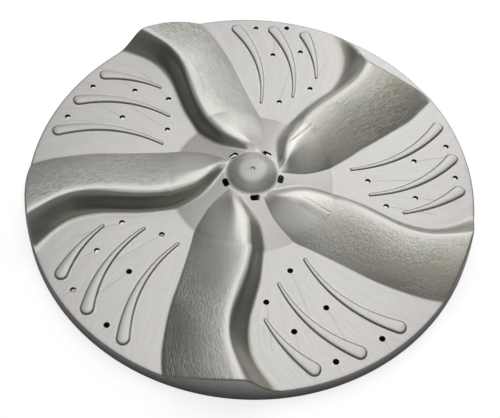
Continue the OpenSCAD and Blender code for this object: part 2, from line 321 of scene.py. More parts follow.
class PlateForm:
    """Heights of the plate's top face over a grid of columns and radii.

    A column is one of the lines that run from the hub to the rim: first across the flat
    sector, then up the next vane's gentle side, then down its steep side.
    """

    flat_steps, gentle_steps, steep_steps = 36, 26, 30

    def __init__(self, plate, hub):
        self.plate, self.hub = plate, hub
        steps = self.flat_steps + self.gentle_steps + self.steep_steps
        self.columns = VANES * steps
        c = np.arange(self.columns)
        self.sector = c // steps
        j = c % steps
        self.across_flat = crowded(np.clip(j / self.flat_steps, 0, 1), 0.75)
        self.up_gentle = crowded(np.clip((j - self.flat_steps) / self.gentle_steps, 0, 1), 0.7)
        self.down_steep = np.clip((j - self.flat_steps - self.gentle_steps) / self.steep_steps, 0, 1)
        self.next_vane = (self.sector + 1) % VANES
        self.short = (self.next_vane == SHORT_VANE) & (j >= self.flat_steps)
        fall = smooth_curve(STEEP_FALL, self.down_steep)
        self.hub_share = smooth_curve(HUB_GENTLE_RISE, self.up_gentle) * fall
        self.inner_share = smooth_curve(GENTLE_RISE, self.up_gentle) * fall
        self.outer_share = (smooth_curve(OUTER_GENTLE_RISE, self.up_gentle)
                            * smooth_curve(OUTER_STEEP_FALL, self.down_steep))
        nose = self.lines(np.full((self.columns, 1), 0.0))[:, 0]
        even = np.arange(self.columns) * 360.0 / self.columns
        self.even = even + (nose - even).mean()

    def lines(self, radius):
        """Angle of every column at every radius, in degrees, along the vanes' lines."""
        share = radius / self.plate.rim_radius
        start = np.where(self.sector[:, None] == SHORT_VANE, smooth_curve(SHORT_STEEP_LINE, share),
                         smooth_curve(STEEP_LINE, share))
        short = self.next_vane[:, None] == SHORT_VANE
        end = PITCH + np.where(short, smooth_curve(SHORT_STEEP_LINE, share),
                               smooth_curve(STEEP_LINE, share))
        crest = PITCH + smooth_curve(CREST_LINE, share)
        foot = PITCH + np.where(short, smooth_curve(SHORT_GENTLE_LINE, share),
                                smooth_curve(GENTLE_LINE, share))
        flat, gentle, steep = (a[:, None] for a in (self.across_flat, self.up_gentle, self.down_steep))
        line = start + (foot - start) * flat + (crest - foot) * gentle + (end - crest) * steep
        return PITCH * self.sector[:, None] + line

    def angles(self, radius):
        """The vanes' lines outside the dome, turning into evenly spread lines inside it."""
        inside = self.even[:, None]
        return inside + (self.lines(radius) - inside) * ease(radius, 9, 19)

    def plate_height(self, radius):
        """Top face between the vanes: a hub cone in two slopes, then the dish out to the rim."""
        p = self.plate
        knots = [(self.hub.dome_radius + 2, self.hub.ring_height), (p.knee_radius, p.knee_height),
                 (p.dish_radius, p.dish_height), (p.rim_radius, p.edge_height)]
        return np.interp(radius, [k[0] for k in knots], [k[1] for k in knots])

    def dome_height(self, radius):
        """The dome: low and round on top, with a soft shoulder, steeper down to its foot, and
        the gate mark sunk in its centre."""
        h = self.hub
        share = radius / h.dome_radius
        knots = [(0, 1), (0.21, 0.978), (0.34, 0.94), (0.43, 0.9), (0.5, 0.855), (0.58, 0.78),
                 (0.71, 0.58), (0.84, 0.36), (0.92, 0.2), (0.98, 0.06), (1.04, -0.06), (1.2, -0.6),
                 (9, -25)]
        gate = 0.9 * ease(radius, 1.25 * h.gate_radius, 0.6 * h.gate_radius)
        lip = 0.12 * np.exp(-((radius - 1.5 * h.gate_radius) / 0.35) ** 2)
        return h.ring_height + h.dome_rise * smooth_curve(knots, share) - gate + lip

    def vane_height(self, radius):
        """Rise of a vane's crest above the plate, from its nose to the rim."""
        p = self.plate
        inside = p.vane_rise_inside
        knots = [(20.8, 0), (24.5, 0.17 * inside), (28, 0.35 * inside), (33, 0.51 * inside),
                 (40, 0.64 * inside), (50, 0.79 * inside), (p.dish_radius, 0.965 * inside),
                 (p.dish_radius + 5, inside), (p.rim_radius, p.vane_rise)]
        return np.where(radius < 20.8, 0, smooth_curve(knots, radius))

    def share(self, radius):
        """Share of the vane's full rise at every column, with a round crest near the hub and
        a rounder gentle side towards the rim."""
        hub, inner, outer = (a[:, None] for a in (self.hub_share, self.inner_share, self.outer_share))
        return (hub + (inner - hub) * ease(radius, 44, 64)
                + (outer - inner) * ease(radius, 95, 140))

    def end_radius(self, angle):
        """Radius of the foot of the short vane's end face at an angle in degrees."""
        return self.plate.rim_radius * smooth_curve(END_LINE, angle % 360)

    def heights(self, radius, angle):
        """Height of the top face: the plate plus each column's share of the vane's rise. On the
        short vane the rise is the lower of that and a plane face that slopes down to its foot."""
        p = self.plate
        share = self.share(radius)
        full = share * self.vane_height(radius)
        foot = self.end_radius(angle)
        face = np.maximum(foot - radius, 0) * math.tan(math.radians(p.end_slope))
        rise = np.where(self.short[:, None], soft_min(full, face, 1.6), full)
        ledge = p.ledge_drop * ease(radius - foot, -1.5, 2.5) * ease(share, 0.0, 0.3)
        fill = p.crease_fill * np.clip(1 - np.abs(radius - p.dish_radius) / 20, 0, 1) ** 2
        plate = (self.plate_height(radius) + np.maximum(rise, 0) + 4 * fill * share * (1 - share)
                 - np.where(self.short[:, None], ledge, 0))
        z = -soft_min(-self.dome_height(radius), -plate, 1.6)
        return (np.roll(z, 1, 0) + 4 * z + np.roll(z, -1, 0)) / 6

    def rim(self):
        """Radius and height at which each column's top face meets the leaning rim wall."""
        p = self.plate
        lean = math.tan(math.radians(p.rim_draft))
        radius = np.full((self.columns, 1), p.rim_radius)
        for _ in range(4):
            z = self.heights(radius, self.angles(radius))
            radius = p.rim_radius - z * lean
        return radius, z

    def outer_rings(self, start, end, steps):
        """Radii from start to each column's end. On the short vane they bend, so that one ring
        follows the end face's upper edge and one its foot."""
        w = (np.arange(1, steps + 1) / steps)[None, :]
        plain = start + (end - start) * w
        angle = self.lines(np.full((self.columns, 1), 0.93 * self.plate.rim_radius))
        foot = self.end_radius(angle)
        share = self.outer_share[:, None]
        rise = share * self.vane_height(np.full((1, 1), 0.88 * self.plate.rim_radius))
        top = foot - rise / math.tan(math.radians(self.plate.end_slope))
        bent = np.where(w < 0.45, start + (top - start) * w / 0.45,
                        np.where(w < 0.8, top + (foot - top) * (w - 0.45) / 0.35,
                                 foot + (end - foot) * (w - 0.8) / 0.2))
        weight = np.where(self.short[:, None], ease(share, 0.03, 0.4), 0)
        return plain + (bent - plain) * weight


def crowded(t, amount):
    """Even steps from 0 to 1 drawn together towards both ends: amount is the share of the
    cosine spacing in the mix."""
    return (1 - amount) * t + amount * (1 - np.cos(np.pi * t)) / 2


def spread(low, high, steps, first=True):
    """Even steps from low to high, without the last, and without the first unless asked."""
    return np.linspace(low, high, steps + 1)[0 if first else 1:-1]


def bend(a, corner, b, steps):
    """Points of a parabola from a to b that is tangent to the lines through the corner."""
    t = np.linspace(0, 1, steps + 1)[1:]
    return [(1 - u) ** 2 * a + 2 * u * (1 - u) * corner + u * u * b for u in t]


def moulded_section(form):
    """The closed section of the moulding at every column, as columns by rows by 3.

    Each column's rows run from the centre of the dome over the top face to the rim, down the
    wall, back along the underside, down the socket's tube and up its bore. Radius and height
    are worked out row by row, and the angle follows the vanes' lines for each radius.
    """
    p, h = form.plate, form.hub
    n = form.columns
    lean = math.tan(math.radians(p.rim_draft))
    one = np.ones((n, 1))
    edge_r, edge_z = form.rim()
    inner = np.concatenate([
        [0.4, 0.75, 1.0, 1.25, 1.55, 1.9, 2.4], spread(3, 16, 11), spread(16, 21.2, 10),
        spread(21.2, p.knee_radius, 15), spread(p.knee_radius, p.dish_radius, 16),
        np.linspace(p.dish_radius, 127, 32)])
    top_r = np.hstack([one * inner, form.outer_rings(127, edge_r - p.edge_round, 25)])
    top_z = form.heights(top_r, form.angles(top_r))

    e = p.edge_round
    corner = np.stack([edge_r, edge_z], -1)
    below = np.stack([p.rim_radius - (edge_z - e) * lean, edge_z - e], -1)
    start = np.stack([top_r[:, -1:], top_z[:, -1:]], -1)
    edge = np.concatenate(bend(start, corner, below, 5), 1)
    drop = np.linspace(1, 0, 7)[1:]
    wall_z = 0.4 + (edge_z - e - 0.4) * drop
    up_wall = wall_z / (edge_z - e)
    bulge = p.rim_bulge * (edge_z / edge_z.max()) ** 2 * 4 * up_wall * (1 - up_wall)
    wall = np.stack([p.rim_radius - wall_z * lean + bulge, wall_z], -1)
    last = wall[:, -1:]
    foot = np.concatenate(bend(last, one[..., None] * [p.rim_radius, 0], one[..., None] * [p.rim_radius - 0.5, 0], 3), 1)
    inside_r = p.rim_radius - p.wall
    lip = one[..., None] * [inside_r, 0]

    # underside: the top face lowered by the wall, and by more where it is steep
    reach = edge_r - p.wall - 2.5
    under_share = np.concatenate([np.linspace(1, 0.64, 11), np.linspace(0.6, 0.16, 14), [0.12, 0.09, 0.075]])
    under_r = np.maximum(reach * under_share[None, :], h.socket_radius + 1.5)
    top = form.heights(under_r, form.angles(under_r))
    a = np.radians(form.angles(under_r))
    x, y = under_r * np.cos(a), under_r * np.sin(a)
    across = np.hypot(np.roll(x, -1, 0) - np.roll(x, 1, 0), np.roll(y, -1, 0) - np.roll(y, 1, 0))
    slope = (np.roll(top, -1, 0) - np.roll(top, 1, 0)) / np.maximum(across, 0.2)
    thick = p.wall * np.sqrt(1 + np.clip(slope, -1.6, 1.6) ** 2)
    under_z = np.maximum(top - thick, 0.35)
    rise = np.linspace(0, 1, 6)[1:, None, None]
    ceiling = under_z[:, :1]
    inner_wall_z = np.maximum(ceiling - 1.5, 0.2)
    up = [np.stack([inside_r - t * inner_wall_z * lean, t * inner_wall_z], -1) for t in (0.25, 0.5, 0.75, 1)]
    begin = up[-1]
    turn = np.stack([edge_r - p.wall, ceiling], -1)
    under = np.stack([under_r, under_z], -1)
    fillet = bend(begin, turn, under[:, :1], 3)

    # socket: tube, plain mouth, toothed bore and its roof
    tube_top = under_z[:, -1:]
    floor = h.rib_clearance
    tube_fillet = bend(under[:, -1:], np.stack([one * h.socket_radius, tube_top], -1),
                       np.stack([one * h.socket_radius, tube_top - 1.5], -1), 3)

    def ring(radius, z):
        return np.stack([one * radius, one * z], -1)

    tube = [ring(h.socket_radius, t) for t in (7, 4, 2, floor + 0.4)]
    tube += [ring(h.socket_radius - 0.4, floor), ring(h.lead_radius + 0.5, floor),
             ring(h.lead_radius, floor + 0.5), ring(h.lead_radius, floor + h.lead_depth / 2),
             ring(h.lead_radius, floor + h.lead_depth)]
    phase = (form.even[:, None] * h.teeth / 360) % 1
    groove = h.bore_radius + h.groove_depth * ease(np.abs(phase - 0.5), 0.3, 0.2)
    roof = floor + h.bore_depth
    tube += [ring(groove, floor + h.lead_depth + 0.02)]
    tube += [ring(groove, floor + h.lead_depth + t * (h.bore_depth - h.lead_depth)) for t in (0.33, 0.66, 1)]
    tube += [ring(h.bore_radius - 0.4, roof), ring(2, roof), ring(0.4, roof)]
    rows = np.concatenate([np.stack([top_r, top_z], -1), edge, wall, foot, lip] + up + fillet
                          + [under[:, 1:]] + tube_fillet + tube, 1)
    return rows, top_r.shape[1]


def carried_round(form, rows):
    """Places of a section's rows: radius and height become x, y and z at each column's angle."""
    a = np.radians(form.angles(rows[..., 0]))
    return np.stack([rows[..., 0] * np.cos(a), rows[..., 0] * np.sin(a), rows[..., 1]], -1)


def grid_mesh(name, points, caps=None):
    """Mesh object from an array of points, columns by rows by 3, closed round the columns.

    With no caps, the last row joins the first. Otherwise caps are two heights at which a
    point on the axis closes the first and the last row with a fan.
    """
    n, m, _ = points.shape
    verts = points.reshape(-1, 3)
    c = np.arange(n)[:, None]
    i = np.arange(m if caps is None else m - 1)[None, :]
    nc, ni = (c + 1) % n, (i + 1) % m
    corners = np.broadcast_arrays(c * m + i, c * m + ni, nc * m + ni, nc * m + i)
    faces = [np.stack(corners, -1).reshape(-1, 4)]
    if caps is not None:
        verts = np.vstack([verts, [(0, 0, caps[0]), (0, 0, caps[1])]])
        first = np.arange(n) * m
        last = first + m - 1
        faces += [np.stack([np.full(n, n * m), first, np.roll(first, -1)], -1),
                  np.stack([np.full(n, n * m + 1), np.roll(last, -1), last], -1)]
    return mesh_object(name, verts, faces)


def mesh_object(name, verts, faces):
    """Mesh object in metres from points in millimetres and arrays of faces, all smooth."""
    mesh = bpy.data.meshes.new(name)
    sizes = np.concatenate([np.full(len(f), f.shape[1]) for f in faces])
    loops = np.concatenate([f.ravel() for f in faces])
    mesh.vertices.add(len(verts))
    mesh.vertices.foreach_set("co", (np.asarray(verts) * MM).astype(np.float32).ravel())
    mesh.loops.add(len(loops))
    mesh.loops.foreach_set("vertex_index", loops.astype(np.int32))
    mesh.polygons.add(len(sizes))
    starts = np.concatenate([[0], np.cumsum(sizes)[:-1]])
    mesh.polygons.foreach_set("loop_start", starts.astype(np.int32))
    mesh.polygons.foreach_set("use_smooth", np.ones(len(sizes), bool))
    mesh.update(calc_edges=True)
    mesh.validate()
    obj = bpy.data.objects.new(name, mesh)
    bpy.context.scene.collection.objects.link(obj)
    return obj


def polar(radius, angle):
    """x and y of a radius and an angle in degrees."""
    a = np.radians(angle)
    return np.stack([radius * np.cos(a), radius * np.sin(a)], -1)


def comma_outline(sizes, head, tail, bow):
    """Outline of a comma rib and the line down its middle, point for point.

    The middle runs straight from head to tail, pushed to its left by bow * 4t(1 - t). The
    half width is tail + (head - tail) * (1 - t)^1.35, with half a circle at each end. The
    points go up the left side, round the tail and back down the right side, round the head.
    """
    start, stop = polar(*head), polar(*tail)
    run = stop - start
    length = math.hypot(*run)
    ahead = run / length
    left = np.array([-ahead[1], ahead[0]])
    t = np.linspace(0, 1, 25)[:, None]
    middle = start + run * t + left * bow * 4 * t * (1 - t)
    along = run + left * bow * 4 * (1 - 2 * t)
    along /= np.linalg.norm(along, axis=1)[:, None]
    side = np.stack([-along[:, 1], along[:, 0]], -1)
    half = sizes.tail_radius + (sizes.head_radius - sizes.tail_radius) * (1 - t) ** 1.35
    turn = np.radians(np.linspace(90, -90, 17)[1:-1])[:, None]
    tail_cap = middle[-1] + half[-1] * (along[-1] * np.cos(turn) + side[-1] * np.sin(turn))
    head_cap = middle[0] + half[0] * (-along[0] * np.cos(turn) - side[0] * np.sin(turn))
    outline = np.vstack([middle + side * half, tail_cap, (middle - side * half)[::-1], head_cap])
    spine = np.vstack([middle, np.repeat(middle[-1:], 15, 0), middle[::-1], np.repeat(middle[:1], 15, 0)])
    width = np.concatenate([half, np.repeat(half[-1:], 15, 0), half[::-1], np.repeat(half[:1], 15, 0)])
    return outline, spine, width[:, 0]


def comma_rib(form, sizes, head, tail, bow):
    """Points and faces of one comma rib, closed all round.

    Its rows go from a foot sunk in the plate up a quarter ellipse, as wide as the rounding
    and as high as the rib, both less where the rib is narrow, and over the crowned top to
    the middle line.
    """
    outline, spine, width = comma_outline(sizes, head, tail, bow)
    full = width / sizes.head_radius
    rounding = sizes.rounding * (0.25 + 0.75 * full)
    height = sizes.height * (0.3 + 0.7 * np.minimum(full / 0.55, 1))
    share = np.minimum(rounding / width, 0.8)
    turn = np.radians([0, 10, 22, 36, 50, 66, 90])
    levels = [(0 * share, -0.9)]
    levels += [(share * (1 - math.cos(a)), height * math.sin(a)) for a in turn]
    levels += [(share + (1 - share) * w, height + crown * full) for w, crown in ((0.45, 0.1), (0.9, 0.16))]
    return comma_solid(form, outline, spine, levels)


def comma_groove(form, sizes, head, tail, bow):
    """Points and faces of the space that a comma rib's footprint and the narrow groove round
    it take out of the plate."""
    outline, spine, width = comma_outline(sizes, head, tail, bow)
    grow = -sizes.groove_width / width
    return comma_solid(form, outline, spine, [(grow, -sizes.groove_depth), (grow, 3), (0 * grow + 0.5, 3)])


def comma_solid(form, outline, spine, levels):
    """Closed points and faces from rows over a comma's outline. A level is the share of the
    way from the outline to the middle line, point for point, and the height above the plate.
    The first and the last row are closed by bands that join left points to right."""
    rows = []
    for share, rise in levels:
        place = outline + (spine - outline) * share[:, None]
        rows.append(np.column_stack([place, form.plate_height(np.hypot(*place.T)) + rise]))
    points = np.stack(rows, 1)
    n, m, _ = points.shape
    c, i = np.arange(n)[:, None], np.arange(m - 1)[None, :]
    nc = (c + 1) % n
    sides = np.stack(np.broadcast_arrays(c * m + i, c * m + i + 1, nc * m + i + 1, nc * m + i), -1).reshape(-1, 4)
    # bands across, in which point k of the left side faces point 64 - k of the right side
    k = np.arange(-7, 32)
    left, right = k % n, 64 - k
    band = np.stack([left[:-1], right[:-1], right[1:], left[1:]], -1) * m
    tips = np.array([[72, 71, 73], [32, 31, 33]]) * m
    return points.reshape(-1, 3), [sides, band + m - 1, tips + m - 1, band[:, ::-1], tips[:, ::-1]]


def every_comma(make, form, sizes):
    """What make gives for the three comma ribs of each sector, joined."""
    parts = []
    for k in range(VANES):
        for (head, tail, bow), turn in zip((SHORT_RIB, MIDDLE_RIB, LONG_RIB), RIB_TURNS[k]):
            shift = PITCH * k + turn
            parts.append(make(form, sizes, (head[0], head[1] + shift), (tail[0], tail[1] + shift), bow))
    return joined(parts)


def weld_lines(form, sizes):
    """Points and faces of the hair lines that run out along the radius from every drain hole,
    where the melt met again behind the hole's pin. Each is a strip with a four-cornered
    section, sunk in the plate but for a few hundredths of a millimetre."""
    parts = []
    half = sizes.weld_width / 2
    for k in range(VANES):
        for number, (radius, angle) in enumerate(HOLES[k]):
            end = min(radius + 26 + 6 * (number % 3), form.plate.rim_radius - 4)
            run = np.linspace(radius + sizes.hole_radius + 0.6, end, 9)
            width = half * np.interp(run, [run[0], end - 5, end], [1, 1, 0.3])
            top = form.plate_height(run) + 0.05
            out, left = polar(1.0, angle + PITCH * k), polar(1.0, angle + PITCH * k + 90)
            corners = [(-width, top - 0.4), (width, top - 0.4), (0.6 * width, top), (-0.6 * width, top)]
            points = np.stack([np.column_stack([run[:, None] * out + side[:, None] * left, z])
                               for side, z in corners], 1)
            parts.append(swept(points))
    return joined(parts)


def swept(points):
    """Closed points and faces of a bar from its four-cornered sections, rows by 4 by 3."""
    n = len(points)
    c, i = np.arange(n - 1)[:, None], np.arange(4)[None, :]
    ni = (i + 1) % 4
    quads = np.stack(np.broadcast_arrays(c * 4 + i, c * 4 + ni, (c + 1) * 4 + ni, (c + 1) * 4 + i), -1)
    ends = np.array([[3, 2, 1, 0], [0, 1, 2, 3]])
    ends[1] += (n - 1) * 4
    return points.reshape(-1, 3), [quads.reshape(-1, 4), ends]


def prism(outline, low, high, flare=0.0, surface_z=None):
    """Points and faces of an upright prism over an outline that runs anticlockwise. With a
    flare, it widens by that much from just under the surface's height upwards."""
    n = len(outline)
    centre = outline.mean(0)
    away = outline - centre
    away /= np.linalg.norm(away, axis=1)[:, None]
    levels = [(low, 0.0), (high, 0.0)]
    if flare:
        levels = [(low, 0.0), (surface_z - 1.2 * flare, 0.0), (surface_z, flare), (high, 2.4 * flare)]
    rows = [np.column_stack([outline + away * grow, np.full(n, z)]) for z, grow in levels]
    m = len(rows)
    points = np.stack(rows, 1).reshape(-1, 3)
    c, i = np.arange(n)[:, None], np.arange(m - 1)[None, :]
    nc = (c + 1) % n
    sides = np.stack(np.broadcast_arrays(c * m + i, nc * m + i, nc * m + i + 1, c * m + i + 1), -1).reshape(-1, 4)
    ring = np.arange(n) * m
    return points, [sides, ring[::-1][None, :], (ring + m - 1)[None, :]]


def joined(parts):
    """One list of points and one of face arrays from several shapes' points and faces."""
    points, faces, shift = [], [], 0
    for p, f in parts:
        points.append(p)
        faces += [a + shift for a in f]
        shift += len(p)
    return np.vstack(points), faces


def ring_of(centre, radius_a, radius_b, turn, steps):
    """Outline of an ellipse about a centre, its first axis turned by an angle in radians."""
    t = np.arange(steps) * 2 * math.pi / steps
    x, y = radius_a * np.cos(t), radius_b * np.sin(t)
    return centre + np.stack([x * math.cos(turn) - y * math.sin(turn), x * math.sin(turn) + y * math.cos(turn)], -1)


def slot_outline(sizes, angle):
    """Outline of a slot with round ends, its length across the radius at an angle."""
    a = math.radians(angle)
    out, across = np.array([math.cos(a), math.sin(a)]), np.array([-math.sin(a), math.cos(a)])
    r = sizes.slot_width / 2 * 0.75
    hw, hl = sizes.slot_width / 2 - r, sizes.slot_length / 2 - r
    t = np.radians(np.linspace(0, 90, 7))
    x = np.concatenate([hw + r * np.cos(t), -hw - r * np.sin(t), -hw - r * np.cos(t), hw + r * np.sin(t)])
    y = np.concatenate([hl + r * np.sin(t), hl + r * np.cos(t), -hl - r * np.sin(t), -hl - r * np.cos(t)])
    return out * sizes.slot_radius + x[:, None] * out + y[:, None] * across


def opening_cutters(form, sizes):
    """All drain holes and slots as upright prisms that widen a little at the top face."""
    parts = []
    for k in range(VANES):
        for radius, angle in HOLES[k]:
            z = float(form.plate_height(radius))
            outline = ring_of(polar(radius, angle + PITCH * k), sizes.hole_radius, sizes.hole_radius, 0, 24)
            parts.append(prism(outline, z - 5, z + 1.5, 0.28, z))
        z = float(form.plate_height(sizes.slot_radius))
        parts.append(prism(slot_outline(sizes, sizes.slot_angle + PITCH * k), z - 6, z + 3, 0.3, z))
    return joined(parts)


def cut(obj, cutter, slot=0):
    """Take the cutter's space out of a closed piece, give the faces that this makes a material
    slot, and drop the cutter."""
    for _ in range(2 - len(obj.data.materials)):
        obj.data.materials.append(None)
    for _ in range(2):
        cutter.data.materials.append(None)
    cutter.data.polygons.foreach_set("material_index", np.full(len(cutter.data.polygons), slot))
    mod = obj.modifiers.new("openings", "BOOLEAN")
    mod.operation = "DIFFERENCE"
    mod.solver = "MANIFOLD"
    mod.material_mode = "INDEX"
    mod.object = cutter
    bpy.context.view_layer.update()
    done = bpy.data.meshes.new_from_object(obj.evaluated_get(bpy.context.evaluated_depsgraph_get()))
    obj.modifiers.clear()
    obj.data = done
    bpy.data.objects.remove(cutter)


def under_ribs(form, sizes, hub):
    """The two ring ribs and five spoke ribs that stiffen the underside, from just above the
    floor up into the plate's wall."""
    half, low = sizes.under_rib / 2, hub.rib_clearance
    parts = []
    for radius in (sizes.inner_ring, sizes.outer_ring):
        section = []
        for r, top in ((radius - half, False), (radius - half, True), (radius + half, True), (radius + half, False)):
            r = np.full((form.columns, 1), r)
            z = form.heights(r, form.angles(r)) - 1.3 if top else np.full_like(r, low)
            a = np.radians(form.angles(r))
            section.append(np.stack([r * np.cos(a), r * np.sin(a), z], -1))
        points = np.concatenate(section, 1)
        n, m, _ = points.shape
        c, i = np.arange(n)[:, None], np.arange(m)[None, :]
        nc, ni = (c + 1) % n, (i + 1) % m
        quads = np.stack(np.broadcast_arrays(c * m + i, c * m + ni, nc * m + ni, nc * m + i), -1)
        parts.append((points.reshape(-1, 3), [quads.reshape(-1, 4)]))
    end = form.plate.rim_radius - form.plate.wall - 0.4
    run = np.linspace(hub.socket_radius - 0.6, end, 40)
    for k in range(VANES):
        a = math.radians(sizes.spoke_angle + PITCH * k)
        out, left = np.array([math.cos(a), math.sin(a)]), np.array([-math.sin(a), math.cos(a)])
        high = np.minimum(form.plate_height(run), hub.ring_height) - 1.3
        rows = [(-half, np.full_like(run, low)), (half, np.full_like(run, low)), (half, high), (-half, high)]
        parts.append(swept(np.stack(
            [np.column_stack([run[:, None] * out + side * left, z]) for side, z in rows], 1)))
    return joined(parts)


def finished(obj, sharp=40):
    """Give a piece its finish, keep its edges sharp past an angle in degrees, and tell the
    frame what it stands for."""
    obj.data.set_sharp_from_angle(angle=math.radians(sharp))
    indices = np.zeros(len(obj.data.polygons), np.int32)
    obj.data.polygons.foreach_get("material_index", indices)
    obj.data.materials.clear()
    obj.data.materials.append(silver_plastic())
    # The faces cut by the openings get the near-black painted shade of the hole walls.
    if indices.any():
        obj.data.materials.append(hole_shade_plastic())
        obj.data.polygons.foreach_set("material_index", indices)
    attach(obj, "root")
    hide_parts(NODE)


# ---------------------------------------------------------------- finish


class Wires:
    """Short ways to add nodes to a node tree."""

    def __init__(self, tree):
        self.nodes, self.links = tree.nodes, tree.links

    def put(self, value, socket):
        """Link a socket to another, or give it a plain value."""
        if isinstance(value, bpy.types.NodeSocket):
            self.links.new(value, socket)
        else:
            socket.default_value = value

    def math(self, operation, *values):
        node = self.nodes.new("ShaderNodeMath")
        node.operation = operation
        for socket, value in zip(node.inputs, values):
            self.put(value, socket)
        return node.outputs[0]

    def total(self, *values):
        out = values[0]
        for value in values[1:]:
            out = self.math("ADD", out, value)
        return out

    def product(self, *values):
        out = values[0]
        for value in values[1:]:
            out = self.math("MULTIPLY", out, value)
        return out

    def step(self, value, low, high, at_low=0.0, at_high=1.0, smooth=True):
        """Rise from one value at low to another at high."""
        node = self.nodes.new("ShaderNodeMapRange")
        if smooth:
            node.interpolation_type = "SMOOTHSTEP"
        node.inputs["From Min"].default_value = low
        node.inputs["From Max"].default_value = high
        node.inputs["To Min"].default_value = at_low
        node.inputs["To Max"].default_value = at_high
        self.put(value, node.inputs["Value"])
        return node.outputs["Result"]

    def place(self, output):
        """x, y and z of a place or direction, and its length."""
        coordinates = self.nodes.new("ShaderNodeTexCoord")
        split = self.nodes.new("ShaderNodeSeparateXYZ")
        away = self.nodes.new("ShaderNodeVectorMath")
        away.operation = "LENGTH"
        self.links.new(coordinates.outputs[output], split.inputs[0])
        self.links.new(coordinates.outputs[output], away.inputs[0])
        return (*split.outputs, away.outputs["Value"])

    def mark(self, name, vector=False):
        """A mark kept on the mesh's points: a number, or a vector."""
        node = self.nodes.new("ShaderNodeAttribute")
        node.attribute_name = name
        return node.outputs["Vector" if vector else "Fac"]

    def stretched(self, vector, scale):
        """A vector with each part multiplied by its own scale."""
        node = self.nodes.new("ShaderNodeVectorMath")
        node.operation = "MULTIPLY"
        self.put(vector, node.inputs[0])
        node.inputs[1].default_value = scale
        return node.outputs[0]

    def noise(self, vector, scale=1.0, detail=2.0, roughness=0.5, distortion=0.0):
        node = self.nodes.new("ShaderNodeTexNoise")
        self.put(vector, node.inputs["Vector"])
        node.inputs["Scale"].default_value = scale
        node.inputs["Detail"].default_value = detail
        node.inputs["Roughness"].default_value = roughness
        node.inputs["Distortion"].default_value = distortion
        return node.outputs["Fac"]

    def blend(self, share, colour_a, colour_b):
        """Mix of two colours, each a plain colour or a socket."""
        node = self.nodes.new("ShaderNodeMix")
        node.data_type = "RGBA"
        self.put(share, node.inputs["Factor"])
        self.put(colour_a, node.inputs[6])
        self.put(colour_b, node.inputs[7])
        return node.outputs[2]

    def bump(self, height, distance, normal=None):
        node = self.nodes.new("ShaderNodeBump")
        node.inputs["Strength"].default_value = 1.0
        node.inputs["Distance"].default_value = distance
        self.put(height, node.inputs["Height"])
        if normal is not None:
            self.put(normal, node.inputs["Normal"])
        return node.outputs["Normal"]


def surface_marks(obj, form, rows, top_rows):
    """Keep on the plate's points what its finish follows.

    flow is (cos, sin, radius) of each column's own direction, the same from hub to rim, so a
    pattern on it runs along the vanes. gentle, steep and crest rise to 1 on a vane's gentle
    side, steep side and crest, foot is 1 low on the gentle side, and wall is 1 on the rim wall.
    """
    n, m, _ = rows.shape
    radius = rows[..., 0]
    own = np.radians(form.lines(np.full((n, 1), 0.6 * form.plate.rim_radius)))
    flow = np.stack(np.broadcast_arrays(np.cos(own), np.sin(own), radius), -1).reshape(-1, 3)
    on_top = (np.arange(m) < top_rows + 5)[None, :]
    up, down = form.up_gentle[:, None], form.down_steep[:, None]
    ledge = form.short[:, None] * ease(radius - form.end_radius(form.angles(radius)), -2.5, 0.5)
    past_hub = on_top * ease(radius, 24, 42) * (1 - ledge)
    wall = (np.arange(m) >= top_rows + 4) & (np.arange(m) < top_rows + 14)
    values = {
        "gentle": past_hub * ease(up, 0, 0.06) * ease(up, 1.0, 0.86) * (down == 0),
        "steep": past_hub * ease(down, 0.03, 0.3) * ease(down, 1.0, 0.8),
        "crest": past_hub * ease(up, 0.5, 0.93) * ease(down, 0.12, 0.0),
        "foot": past_hub * ease(up, 0.85, 0.3) * (down == 0),
        "wall": wall * 1.0,
    }
    mesh = obj.data
    spare = len(mesh.vertices) - n * m
    mark = mesh.attributes.new("flow", "FLOAT_VECTOR", "POINT")
    mark.data.foreach_set("vector", np.vstack([flow, np.zeros((spare, 3))]).astype(np.float32).ravel())
    for name, value in values.items():
        mark = mesh.attributes.new(name, "FLOAT", "POINT")
        value = np.broadcast_to(value, (n, m)).ravel()
        mark.data.foreach_set("value", np.concatenate([value, np.zeros(spare)]).astype(np.float32))


def fold_mark(w, angle):
    """Height of a fold mark on a vane's gentle side, along a line that runs out from the centre:
    a low ridge with a narrow valley on the crest's side, ending short at the low ring."""
    x, y, _, _ = w.place("Object")
    cos, sin = math.cos(math.radians(angle)) / MM, math.sin(math.radians(angle)) / MM
    along = w.total(w.product(x, cos), w.product(y, sin))
    across = w.total(w.product(x, -sin), w.product(y, cos))
    ridge = w.product(w.step(across, -7.5, -1.3), w.step(across, 0.3, -1.3))
    valley = w.product(w.step(across, -0.3, 0.5), w.step(across, 1.6, 0.5), -0.5)
    return w.product(w.total(ridge, valley), w.step(along, 38, 46), w.step(along, 67.5, 66))


